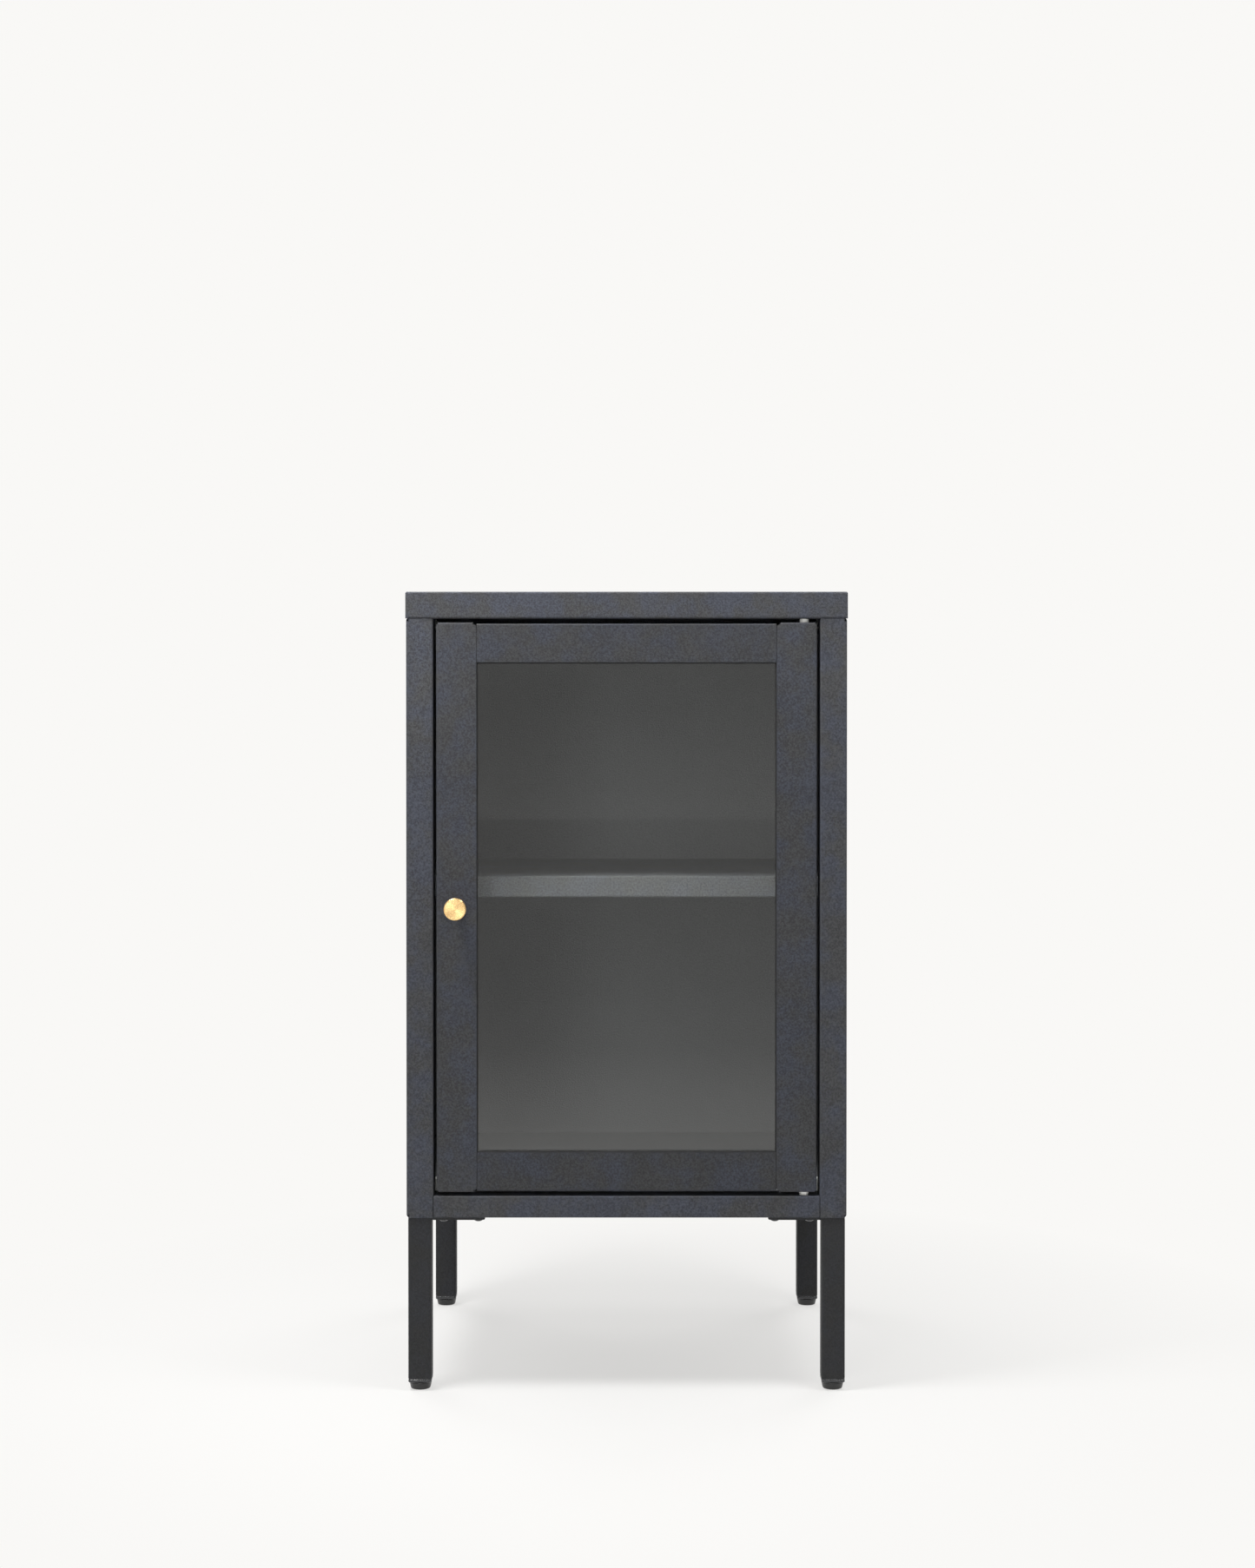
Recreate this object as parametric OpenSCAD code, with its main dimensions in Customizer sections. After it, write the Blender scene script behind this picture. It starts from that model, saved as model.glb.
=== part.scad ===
// Display cabinet of folded sheet steel with one glazed door, a shelf and four square legs.
// The origin is on the ground, under the middle of the whole object; the front faces -Y.

/* [Case] */
// Width over the top panel
case_w = 380; // [320:5:460]
// Depth over the top panel
case_d = 320; // [250:5:400]
// Height from the ground to the top face
case_h = 688; // [560:1:860]
// Height of the top panel's walls
lid_h = 23; // [16:0.5:30]
// How far the top panel stands past the sides and the front
lid_overhang = 0.6; // [0.3:0.1:2]
// Width of the return round the top panel's lower edge
lid_return = 22; // [20:0.5:26]
// Thickness of the case and door sheet
sheet_t = 0.8; // [0.6:0.1:1.2]
// Thickness of the back panel
back_t = 0.6; // [0.5:0.1:1.2]
// Outside radius of the folds
bend_r = 1.6; // [1.4:0.1:2.4]
// Outside radius of the folds along the bottom edges, and size of the corner reliefs there
edge_r = 2.4; // [1.6:0.1:3]
// Width of the post beside the door
post_w = 23.2; // [20:0.2:30]
// Depth of the post
post_d = 22.4; // [20:0.2:24]
// Width of the rear flanges
rear_flange = 15; // [12:0.5:20]
// Height of the bottom panel's front lip
lip_h = 19; // [14:0.5:26]
// Width of the returns under the bottom panel
base_return = 25; // [24:0.5:30]

/* [Shelf] */
// Height of the shelf's top face above the ground
shelf_z = 440.5; // [340:0.5:500]
// Distance from the door's front face to the shelf
shelf_setback = 50; // [36:1:80]
// Gap between the shelf and the rear flanges
shelf_rear_gap = 6; // [3:0.5:20]
// Height of the shelf's walls
shelf_h = 18.5; // [12:0.5:26]
// Gap between the shelf and each side
shelf_gap = 2.6; // [1.5:0.1:4]

/* [Door] */
// Gap beside the door
door_gap = 2.7; // [2.2:0.1:4]
// Gap over the door
door_gap_top = 3.4; // [2.6:0.1:5]
// Gap under the door
door_gap_bottom = 3.1; // [2.6:0.1:5]
// Depth of the door
door_d = 18; // [16:0.5:22]
// Width of the stiles
stile_w = 34.5; // [33:0.5:44]
// Width of the rails
rail_w = 34.2; // [33:0.2:44]
// Thickness of the glass
glass_t = 4; // [3:0.5:5]
// How far the glass lies behind the frame
glass_lap = 9; // [7:0.5:9]
// Distance from the door's hinged edge to the pivots
pivot_in = 10.5; // [9:0.5:12]
// Distance from the door's front face to the pivots
pivot_back = 6.5; // [6:0.5:8]

/* [Knob] */
// Diameter of the knob
knob_d = 19; // [14:0.5:22]
// How far the knob stands out from the door
knob_out = 20; // [15:0.5:28]
// Height of the knob, from the middle of the door upwards
knob_rise = 0; // [-80:1:80]

/* [Legs] */
// Height of the case above the ground
leg_h = 149.2; // [110:0.2:200]
// Width of the square leg tube
leg_w = 20; // [16:0.5:26]
// Wall of the leg tube
leg_t = 1.2; // [1:0.1:2]
// How far the legs stand back from the faces of the case
leg_inset = 1.2; // [0.6:0.1:2]
// Length of the mounting plate's arms
plate_l = 66; // [62:1:80]
// Height of the foot pad
foot_h = 6.5; // [5:0.5:12]
// Diameter of the foot pad
foot_d = 19; // [16:0.5:19]

/* [Hidden] */
$fn = 48;

// Finishes
coat = "#4b4d52";
zinc = "#b9bcc0";
black = "#1c1c1e";
nylon = "#f2f2ee";
brass = "#b8964a";
pane = "#aebfbd";
half_t = sheet_t / 2;

// Clearances
seam = 0.2;
run_fit = 0.05;
bolt_fit = 0.25;
cut = 0.1;

// Fasteners: [shank radius, shank length, head radius, head height, width of the key]
lid_screw = [2, 8, 3.8, 2.2, 2.5];
back_screw = [1.6, 8, 3.2, 1.8, 2];
leg_bolt = [3, 12, 4.9, 3.4, 4];
knob_fastener = [2, 11, 3.6, 2.2, 2.5];
catch_screw = [1.5, 5, 2.7, 1.5, 1.5];
// Nuts: [bore radius, width over the flats, height]
lid_nut = [lid_screw[0] + run_fit, 8, 3];
clip_nut = [2 + run_fit, 7, 3.2];
leg_nut = [leg_bolt[0] + run_fit, 10, 6];
retainer_nut = [1.5 + run_fit, 5.5, 2.4];
key_depth = 0.55;

// Planes of the case
front_y = -(case_d + back_screw[3] - knob_out + lid_overhang) / 2;
back_y = front_y + case_d;
face_y = front_y + lid_overhang;
rear_y = back_y - back_t;
mid_y = (face_y + rear_y) / 2;
top_x = case_w / 2;
side_x = top_x - lid_overhang;
skin_x = side_x - sheet_t;
post_x = side_x - post_w;
base_z = leg_h;
floor_z = base_z + lip_h;
lid_z = case_h - lid_h;

// Screws between the top panel and the sides
lid_screw_x = side_x - 12;
lid_screw_end = 50;
lid_screw_ys = [face_y + lid_screw_end, mid_y, rear_y - lid_screw_end];

// Back panel: its edge gap, the rows of screws and the wall anchors
back_edge = 0.6;
back_screw_x = side_x - rear_flange / 2;
back_screw_rows = 4;
back_screw_end = 22;
back_screw_z0 = floor_z + back_screw_end;
back_screw_pitch = (lid_z - back_screw_end - back_screw_z0) / (back_screw_rows - 1);
back_low_z = base_z + lip_h / 2;
back_low_xs = [-case_w / 4, 0, case_w / 4];
anchor_r = 2.5;
anchor_x = 120;
anchor_z = lid_z - 25;

// Shelf, and the clips, studs and nuts that carry it
shelf_x = skin_x - shelf_gap;
shelf_y0 = face_y + shelf_setback;
shelf_y1 = rear_y - sheet_t - shelf_rear_gap;
shelf_return = 12;
shelf_base_z = shelf_z - shelf_h;
clip_t = 1.2;
clip_bend_r = 2;
clip_w = 24;
clip_ledge = 16;
clip_drop = 24;
clip_end = 40;
clip_stud_r = 2;
clip_stud_l = 8;
clip_stud_drop = 14;
clip_ys = [shelf_y0 + clip_end, shelf_y1 - clip_end];

// Legs
leg_x1 = side_x - leg_inset;
leg_y0 = face_y + leg_inset;
leg_mid_y = (leg_y0 + back_y - leg_inset) / 2;
leg_x = leg_x1 - leg_w / 2;
leg_y = leg_y0 + leg_w / 2;
leg_corner_r = 2;
plate_t = 2;
plate_side = 2;
plate_arm = leg_w + plate_side;
plate_corner_r = 3;
// Width of the side panels' top and bottom returns, which stop short of the front lip
side_return = min(plate_arm, post_w - seam);
bolt_near = 10;
bolt_far = 40;
// Bolt places as [x, y], first on the arm along the front, then on the arm along the side
front_bolts = [for (d = [bolt_near, bolt_far]) [leg_x1 - leg_w - d, leg_y0 + plate_arm / 2]];
side_bolts = [for (d = [bolt_near, bolt_far]) [leg_x1 - plate_arm / 2, leg_y0 + leg_w + d]];
plug_flange = 3.5;
plug_l = 20;
plug_fit = 0.1;
tube_inner_r = leg_corner_r - leg_t / 2;
plug_corner_r = tube_inner_r + plug_fit;
stud_r = 4;
stud_seat = 2.5;
stud_top = 32;
pad_round = 1.6;
tube_z0 = foot_h + plug_flange;

// Door
door_x1 = post_x - door_gap;
door_z0 = floor_z + door_gap_bottom;
door_z1 = lid_z - door_gap_top;
open_x = door_x1 - stile_w;
open_z0 = door_z0 + rail_w;
open_z1 = door_z1 - rail_w;
door_mid_z = (door_z0 + door_z1) / 2;
door_return = 10;
stile_corner_r = 3;
rail_shy = 1;
rail_seam = 0.15;
tab_l = 14;
tab_h = 5.5;
tab_lap = 18;
tab_edge = 3.4;

// Glazing, counted back from the door's front face
gasket_t = 1.2;
gasket_show = 0.8;
tape_t = 1;
glazing_edge = 0.5;
glass_y = face_y + sheet_t + gasket_t;
tape_y = glass_y + glass_t;
retainer_t = 1;
retainer_y = tape_y + tape_t + retainer_t / 2;
retainer_show = 1;
retainer_web = glass_lap + 2.6;
retainer_edge = 24.5;
retainer_stud_r = 1.5;
retainer_stud_l = 6;
stud_x = open_x + stile_w / 2;
stud_z0 = open_z0 - rail_w / 2;
stud_z1 = open_z1 + rail_w / 2;
stud_end = 40;

// Knob, turned about its own axis
knob_x = -stud_x;
knob_z = door_mid_z + knob_rise;
knob_foot_r = 6;
knob_foot_t = 1.6;
knob_neck_r = 4.4;
knob_head_t = 8;
knob_round = 2;
knob_bore_l = 9;
washer_t = 0.8;
washer_r = 4.4;

// Pivots
pivot_x = door_x1 - pivot_in;
pivot_y = face_y + pivot_back;
pivot_r = 2.5;
pivot_collar_r = 4;
pivot_tail = 5;
bush_r = 4;
bush_flange_r = 4.8;
bush_flange_t = 1.2;
bush_rise = 0.3;
pivot_gap = 0.1;

// Buffers behind the door's lower corners
buffer_w = 15.5;
buffer_d = 9.5;
buffer_h = 10.5;
buffer_x0 = post_x - 5.7;
buffer_y0 = face_y + post_d + 1;
buffer_r = 2;
buffer_barb_r = 2.6;
buffer_barb_l = 2;

// Magnetic catch and its strike
catch_x = -110;
catch_w = 36;
catch_d = 16;
catch_h = 11;
catch_ear = 9;
catch_ear_t = 2.5;
catch_wall = 1.7;
catch_r = 1.5;
pole_w = 24;
pole_d = 12;
pole_t = 1.5;
pole_fit = 0.05;
strike_w = 34;
strike_h = 8.4;
strike_t = 0.8;
strike_gap = 0.3;
rivet_r = 1.5;
rivet_head_r = 2.6;
rivet_head_t = 0.7;
strike_y = face_y + door_d;
strike_z = door_z0 + rail_shy + strike_h / 2 + 0.6;
catch_y0 = strike_y + strike_t + strike_gap;

function unit(a, b) = (b - a) / norm(b - a);
function left_of(v) = [-v[1], v[0]];

// One flat of a folded sheet, between two points of its centre line, cut back at each end
module flat(a, b, t, cut_a, cut_b) {
    d = unit(a, b);
    s = left_of(d) * t / 2;
    p = a + d * cut_a;
    q = b - d * cut_b;
    polygon([p + s, p - s, q - s, q + s]);
}

// The quarter ring of a right-angled fold at b, on the way from a to c
module fold(a, b, c, t, r) {
    u = unit(a, b);
    v = unit(b, c);
    translate(b + (v - u) * (r - t / 2))
        intersection() {
            difference() {
                circle(r);
                circle(r - t);
            }
            polygon([[0, 0], u * r, (u - v) * r, -v * r]);
        }
}

// Cross-section of a sheet folded along the points of its centre line
module section(path, t, r) {
    last = len(path) - 1;
    trim = r - t / 2;
    for (i = [0:last - 1])
        flat(path[i], path[i + 1], t, i > 0 ? trim : 0, i < last - 1 ? trim : 0);
    if (last > 1)
        for (i = [1:last - 1])
            fold(path[i - 1], path[i], path[i + 1], t, r);
}

// A folded sheet whose section is drawn in y and z, and which runs along x
module sheet_x(path, x0, x1, t = sheet_t, r = bend_r) {
    translate([x0, 0, 0])
        rotate([90, 0, 90])
            linear_extrude(x1 - x0)
                section(path, t, r);
}

// A folded sheet whose section is drawn in x and z, and which runs along y
module sheet_y(path, y0, y1, t = sheet_t, r = bend_r) {
    translate([0, y1, 0])
        rotate([90, 0, 0])
            linear_extrude(y1 - y0)
                section(path, t, r);
}

// A folded sheet whose section is drawn in x and y, and which runs along z
module sheet_z(path, z0, z1, t = sheet_t, r = bend_r) {
    translate([0, 0, z0])
        linear_extrude(z1 - z0)
            section(path, t, r);
}

// Mirrored in the plane y = mid when side is 1, unchanged when it is 0
module flip_y(mid, side) {
    translate([0, mid, 0])
        mirror([0, side, 0])
            translate([0, -mid, 0])
                children();
}

// Mirrored in the plane z = mid when side is 1, unchanged when it is 0
module flip_z(mid, side) {
    translate([0, 0, mid])
        mirror([0, 0, side])
            translate([0, 0, -mid])
                children();
}

// Both hands: the right one as drawn, and its mirror image
module both_sides() {
    for (side = [0, 1])
        mirror([side, 0, 0])
            children();
}

// Flat outline with round corners, from [x0, y0] to [x1, y1]
module rounded(x0, y0, x1, y1, r) {
    translate([x0 + r, y0])
        square([x1 - x0 - 2 * r, y1 - y0]);
    translate([x0, y0 + r])
        square([x1 - x0, y1 - y0 - 2 * r]);
    for (x = [x0 + r, x1 - r], y = [y0 + r, y1 - r])
        translate([x, y])
            circle(r);
}

// Low dome on a short rim, standing on z = 0
module dome(r, h) {
    rim = h / 4;
    cap = h - rim;
    ball = (r * r + cap * cap) / (2 * cap);
    rotate_extrude()
        intersection() {
            translate([0, h - ball])
                circle(ball, $fn = 96);
            square([r, h]);
        }
}

// Screw along +Z with its dome head below z = 0 and a hexagon socket in the head
module screw(size) {
    difference() {
        union() {
            cylinder(r = size[0], h = size[1]);
            mirror([0, 0, 1])
                dome(size[2], size[3]);
        }
        translate([0, 0, -size[3] - cut])
            cylinder(d = size[4] / cos(30), h = size[3] * key_depth + cut, $fn = 6);
    }
}

// Hexagon nut standing on z = 0
module nut(size) {
    difference() {
        cylinder(d = size[1] / cos(30), h = size[2], $fn = 6);
        translate([0, 0, -cut])
            cylinder(r = size[0], h = size[2] + 2 * cut);
    }
}

// Upright hole through a sheet whose lower face is at z
module sheet_hole(x, y, z, r, t = sheet_t) {
    translate([x, y, z - cut])
        cylinder(r = r, h = t + 2 * cut);
}

// Hole along y through a sheet whose front face is at y
module wall_hole(x, y, z, r, t = sheet_t) {
    translate([x, y - cut, z])
        rotate([-90, 0, 0])
            cylinder(r = r, h = t + 2 * cut);
}

// Folded tray, open below: a flat top, four walls and a return round their lower edges
module tray(x1, y0, y1, z0, z1, ret) {
    low = z0 + half_t;
    high = z1 - half_t;
    wall = x1 - half_t;
    sheet_y([[ret - x1, low], [-wall, low], [-wall, high], [wall, high], [wall, low], [x1 - ret, low]],
        y0 + bend_r, y1 - bend_r);
    for (side = [0, 1])
        flip_y((y0 + y1) / 2, side) {
            sheet_x([[y0 + ret, low], [y0 + half_t, low], [y0 + half_t, high], [y0 + 2 * bend_r, high]],
                bend_r - x1, x1 - bend_r);
            both_sides()
                translate([x1 - bend_r, y0 + bend_r, 0])
                    rotate([0, 0, -90])
                        rotate_extrude(angle = 90) {
                            translate([bend_r - sheet_t, z0])
                                square([sheet_t, z1 - z0 - bend_r]);
                            translate([0, z1 - bend_r])
                                intersection() {
                                    difference() {
                                        circle(bend_r);
                                        circle(bend_r - sheet_t);
                                    }
                                    square(bend_r);
                                }
                        }
        }
}

module top_panel() {
    color(coat)
        difference() {
            tray(top_x, front_y, back_y, lid_z, case_h, lid_return);
            both_sides()
                for (y = lid_screw_ys)
                    sheet_hole(lid_screw_x, y, lid_z, lid_screw[0] + bolt_fit);
            sheet_hole(pivot_x, pivot_y, lid_z, bush_r + run_fit);
        }
}

module side_panel() {
    wall = side_x - half_t;
    post = post_x + half_t;
    front = face_y + half_t;
    back = rear_y - half_t;
    color(coat)
        difference() {
            union() {
                sheet_z([[post, face_y + post_d], [post, front], [wall, front], [wall, back],
                    [side_x - rear_flange, back]], base_z + edge_r, lid_z - edge_r);
                sheet_z([[post, face_y + post_d], [post, front], [side_x - edge_r, front]], base_z, lid_z);
                sheet_y([[wall, base_z + 2 * edge_r], [wall, base_z + half_t],
                    [side_x - side_return, base_z + half_t]], face_y + edge_r, rear_y - edge_r, sheet_t,
                    edge_r);
                sheet_y([[wall, lid_z - 2 * edge_r], [wall, lid_z - half_t],
                    [side_x - side_return, lid_z - half_t]], face_y + edge_r, rear_y - edge_r);
            }
            for (side = [0, 1])
                flip_y(leg_mid_y, side)
                    for (p = side_bolts)
                        sheet_hole(p[0], p[1], base_z, leg_bolt[0] + bolt_fit);
            for (y = lid_screw_ys)
                sheet_hole(lid_screw_x, y, lid_z - sheet_t, lid_screw[0] + bolt_fit);
            for (i = [0:back_screw_rows - 1])
                wall_hole(back_screw_x, rear_y - sheet_t, back_screw_z0 + i * back_screw_pitch,
                    back_screw[0] + run_fit);
        }
}

module right_side_panel() {
    side_panel();
}

module left_side_panel() {
    mirror([1, 0, 0])
        side_panel();
}

module bottom_panel() {
    x1 = skin_x - seam;
    wall = x1 - half_t;
    low = base_z + sheet_t + half_t;
    high = floor_z - half_t;
    ret = side_x - plate_arm;
    lip_x = post_x - seam;
    color(coat)
        difference() {
            union() {
                sheet_y([[-ret, low], [-wall, low], [-wall, high], [wall, high], [wall, low], [ret, low]],
                    face_y + post_d + seam, rear_y - sheet_t - seam);
                for (side = [0, 1])
                    flip_y(mid_y, side)
                        sheet_x([[face_y + base_return, base_z + half_t], [face_y + half_t, base_z + half_t],
                            [face_y + half_t, high], [face_y + post_d + base_return, high]], -lip_x, lip_x);
            }
            both_sides()
                for (side = [0, 1])
                    flip_y(leg_mid_y, side) {
                        for (p = front_bolts)
                            sheet_hole(p[0], p[1], base_z, leg_bolt[0] + bolt_fit);
                        for (p = side_bolts)
                            sheet_hole(p[0], p[1], base_z + sheet_t, leg_bolt[0] + bolt_fit);
                    }
            for (x = back_low_xs)
                wall_hole(x, rear_y - sheet_t, back_low_z, back_screw[0] + run_fit);
            both_sides()
                sheet_hole(buffer_x0 + buffer_w / 2, buffer_y0 + buffer_d / 2, floor_z - sheet_t,
                    buffer_r + run_fit);
            for (side = [-1, 1])
                sheet_hole(catch_x + side * (catch_w + catch_ear) / 2, catch_y0 + catch_d / 2,
                    floor_z - sheet_t, catch_screw[0] + run_fit);
            sheet_hole(pivot_x, pivot_y, floor_z - sheet_t, bush_r + run_fit);
        }
}

module back_panel() {
    edge = side_x - back_edge;
    low = base_z + back_edge;
    color(coat)
        difference() {
            translate([-edge, rear_y, low])
                cube([2 * edge, back_t, lid_z - back_edge - low]);
            both_sides() {
                for (i = [0:back_screw_rows - 1])
                    wall_hole(back_screw_x, rear_y, back_screw_z0 + i * back_screw_pitch,
                        back_screw[0] + bolt_fit, back_t);
                wall_hole(anchor_x, rear_y, anchor_z, anchor_r, back_t);
            }
            for (x = back_low_xs)
                wall_hole(x, rear_y, back_low_z, back_screw[0] + bolt_fit, back_t);
        }
}

module top_screws() {
    color(zinc)
        both_sides()
            for (y = lid_screw_ys)
                translate([lid_screw_x, y, lid_z - sheet_t])
                    screw(lid_screw);
}

module top_clinch_nuts() {
    color(zinc)
        both_sides()
            for (y = lid_screw_ys)
                translate([lid_screw_x, y, lid_z + sheet_t])
                    nut(lid_nut);
}

module back_screws() {
    color(zinc) {
        both_sides()
            for (i = [0:back_screw_rows - 1])
                translate([back_screw_x, back_y, back_screw_z0 + i * back_screw_pitch])
                    rotate([90, 0, 0])
                        screw(back_screw);
        for (x = back_low_xs)
            translate([x, back_y, back_low_z])
                rotate([90, 0, 0])
                    screw(back_screw);
    }
}

module shelf() {
    color(coat)
        tray(shelf_x, shelf_y0, shelf_y1, shelf_base_z, shelf_z, shelf_return);
}

// One of a piece of shelf hardware at each of the four clips
module at_clips() {
    both_sides()
        for (y = clip_ys)
            translate([skin_x, y, shelf_base_z])
                children();
}

module shelf_clips() {
    color(zinc)
        at_clips()
            difference() {
                sheet_y([[-clip_ledge, -clip_t / 2], [-clip_t / 2, -clip_t / 2], [-clip_t / 2, -clip_drop]],
                    -clip_w / 2, clip_w / 2, clip_t, clip_bend_r);
                translate([-clip_t - cut, 0, -clip_stud_drop])
                    rotate([0, 90, 0])
                        cylinder(r = clip_stud_r + bolt_fit, h = clip_t + 2 * cut);
            }
}

module clip_studs() {
    color(zinc)
        at_clips()
            translate([-clip_stud_l, 0, -clip_stud_drop])
                rotate([0, 90, 0])
                    cylinder(r = clip_stud_r, h = clip_stud_l);
}

module clip_nuts() {
    color(zinc)
        at_clips()
            translate([-clip_t, 0, -clip_stud_drop])
                rotate([0, -90, 0])
                    nut(clip_nut);
}

// Puts a piece drawn for the front right leg at one of the four legs
module at_leg(left, rear) {
    mirror([left, 0, 0])
        flip_y(leg_mid_y, rear)
            children();
}

module leg() {
    color(coat)
        difference() {
            union() {
                translate([0, 0, tube_z0])
                    linear_extrude(base_z - plate_t - tube_z0)
                        difference() {
                            rounded(leg_x1 - leg_w, leg_y0, leg_x1, leg_y0 + leg_w, leg_corner_r);
                            rounded(leg_x1 - leg_w + leg_t, leg_y0 + leg_t, leg_x1 - leg_t,
                                leg_y0 + leg_w - leg_t, tube_inner_r);
                        }
                translate([0, 0, base_z - plate_t])
                    linear_extrude(plate_t) {
                        rounded(leg_x1 - plate_l, leg_y0, leg_x1, leg_y0 + plate_arm, plate_corner_r);
                        rounded(leg_x1 - plate_arm, leg_y0, leg_x1, leg_y0 + plate_l, plate_corner_r);
                    }
            }
            for (p = concat(front_bolts, side_bolts))
                sheet_hole(p[0], p[1], base_z - plate_t, leg_bolt[0] + bolt_fit, plate_t);
        }
}

module leg_front_left() {
    at_leg(1, 0)
        leg();
}

module leg_front_right() {
    at_leg(0, 0)
        leg();
}

module leg_rear_left() {
    at_leg(1, 1)
        leg();
}

module leg_rear_right() {
    at_leg(0, 1)
        leg();
}

module leg_bolts() {
    color(coat)
        for (left = [0, 1], rear = [0, 1])
            at_leg(left, rear)
                for (p = concat(front_bolts, side_bolts))
                    translate([p[0], p[1], base_z - plate_t])
                        screw(leg_bolt);
}

module leg_clinch_nuts() {
    color(zinc)
        for (left = [0, 1], rear = [0, 1])
            at_leg(left, rear) {
                for (p = front_bolts)
                    translate([p[0], p[1], base_z + sheet_t])
                        nut(leg_nut);
                for (p = side_bolts)
                    translate([p[0], p[1], base_z + 2 * sheet_t])
                        nut(leg_nut);
            }
}

module leg_plugs() {
    inset = leg_t + plug_fit;
    chamfer = 0.6;
    color(black)
        for (left = [0, 1], rear = [0, 1])
            at_leg(left, rear)
                difference() {
                    union() {
                        translate([0, 0, foot_h + chamfer])
                            linear_extrude(plug_flange - chamfer)
                                rounded(leg_x1 - leg_w, leg_y0, leg_x1, leg_y0 + leg_w, leg_corner_r);
                        translate([0, 0, foot_h])
                            linear_extrude(chamfer)
                                rounded(leg_x1 - leg_w + chamfer, leg_y0 + chamfer, leg_x1 - chamfer,
                                    leg_y0 + leg_w - chamfer, leg_corner_r);
                        translate([0, 0, tube_z0])
                            linear_extrude(plug_l)
                                rounded(leg_x1 - leg_w + inset, leg_y0 + inset, leg_x1 - inset,
                                    leg_y0 + leg_w - inset, plug_corner_r);
                    }
                    translate([leg_x, leg_y, 0])
                        cylinder(r = stud_r + run_fit, h = tube_z0 + plug_l + cut);
                }
}

module foot_pad() {
    r = foot_d / 2;
    color(black)
        translate([leg_x, leg_y, 0])
            difference() {
                rotate_extrude() {
                    square([r - pad_round, foot_h]);
                    translate([0, pad_round])
                        square([r, foot_h - pad_round]);
                    translate([r - pad_round, pad_round])
                        circle(pad_round);
                }
                translate([0, 0, stud_seat])
                    cylinder(r = stud_r + run_fit, h = foot_h);
            }
}

module foot_pad_front_left() {
    at_leg(1, 0)
        foot_pad();
}

module foot_pad_front_right() {
    at_leg(0, 0)
        foot_pad();
}

module foot_pad_rear_left() {
    at_leg(1, 1)
        foot_pad();
}

module foot_pad_rear_right() {
    at_leg(0, 1)
        foot_pad();
}

module foot_stud() {
    color(zinc)
        translate([leg_x, leg_y, stud_seat])
            cylinder(r = stud_r, h = stud_top - stud_seat);
}

module foot_stud_front_left() {
    at_leg(1, 0)
        foot_stud();
}

module foot_stud_front_right() {
    at_leg(0, 0)
        foot_stud();
}

module foot_stud_rear_left() {
    at_leg(1, 1)
        foot_stud();
}

module foot_stud_rear_right() {
    at_leg(0, 1)
        foot_stud();
}

// The hinged stile; the other one is its mirror image
module stile() {
    wall = door_x1 - half_t;
    front = face_y + half_t;
    back = face_y + door_d - half_t;
    difference() {
        union() {
            sheet_z([[open_x, front], [wall, front], [wall, back], [door_x1 - door_return, back]],
                door_z0 + bend_r, door_z1 - bend_r);
            for (end = [0, 1])
                flip_z(door_mid_z, end)
                    sheet_x([[front, door_z1 - stile_w], [front, door_z1 - half_t],
                        [back - sheet_t, door_z1 - half_t]], open_x + stile_corner_r, door_x1 - bend_r);
        }
        for (end = [0, 1])
            flip_z(door_mid_z, end)
                translate([open_x - cut, face_y - cut, door_z1 - bend_r - stile_corner_r])
                    difference() {
                        cube([stile_corner_r + cut, sheet_t + 2 * cut, stile_corner_r + cut]);
                        translate([stile_corner_r + cut, -cut, 0])
                            rotate([-90, 0, 0])
                                cylinder(r = stile_corner_r, h = sheet_t + 4 * cut);
                    }
    }
}

module door_stile_right() {
    color(coat)
        difference() {
            stile();
            for (z = [door_z0, door_z1 - sheet_t])
                sheet_hole(pivot_x, pivot_y, z, pivot_r + run_fit);
        }
}

module door_stile_left() {
    color(coat)
        difference() {
            mirror([1, 0, 0])
                stile();
            wall_hole(knob_x, face_y, knob_z, knob_fastener[0] + bolt_fit);
        }
}

// The bottom rail; the top rail is its mirror image
module rail() {
    low = door_z0 + rail_shy + half_t;
    x1 = open_x - rail_seam;
    tab_z = door_z0 + tab_edge;
    sheet_x([[face_y + door_d - half_t, door_z0 + rail_shy + door_return],
        [face_y + door_d - half_t, low], [face_y + half_t, low], [face_y + half_t, open_z0]], -x1, x1);
    both_sides()
        translate([open_x - tab_lap, face_y + sheet_t, tab_z])
            cube([tab_lap + tab_l, sheet_t, tab_h]);
}

module door_top_rail() {
    color(coat)
        flip_z(door_mid_z, 1)
            rail();
}

module door_bottom_rail() {
    color(coat)
        difference() {
            rail();
            for (side = [-1, 1])
                wall_hole(catch_x + side * strike_w / 3, strike_y - sheet_t, strike_z, rivet_r + run_fit);
        }
}

// Flat ring round the door's opening: its front plane, its thickness, and how far its outer and
// inner edges lie outside the opening
module ring(y, t, outer, inner) {
    translate([0, y + t, 0])
        rotate([90, 0, 0])
            linear_extrude(t)
                difference() {
                    translate([-open_x - outer, open_z0 - outer])
                        square([2 * (open_x + outer), open_z1 - open_z0 + 2 * outer]);
                    translate([-open_x - inner, open_z0 - inner])
                        square([2 * (open_x + inner), open_z1 - open_z0 + 2 * inner]);
                }
}

module door_glass() {
    color(pane)
        translate([-open_x - glass_lap, glass_y, open_z0 - glass_lap])
            cube([2 * (open_x + glass_lap), glass_t, open_z1 - open_z0 + 2 * glass_lap]);
}

module glazing_gasket() {
    color(black)
        ring(face_y + sheet_t, gasket_t, glass_lap - glazing_edge, -gasket_show);
}

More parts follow.
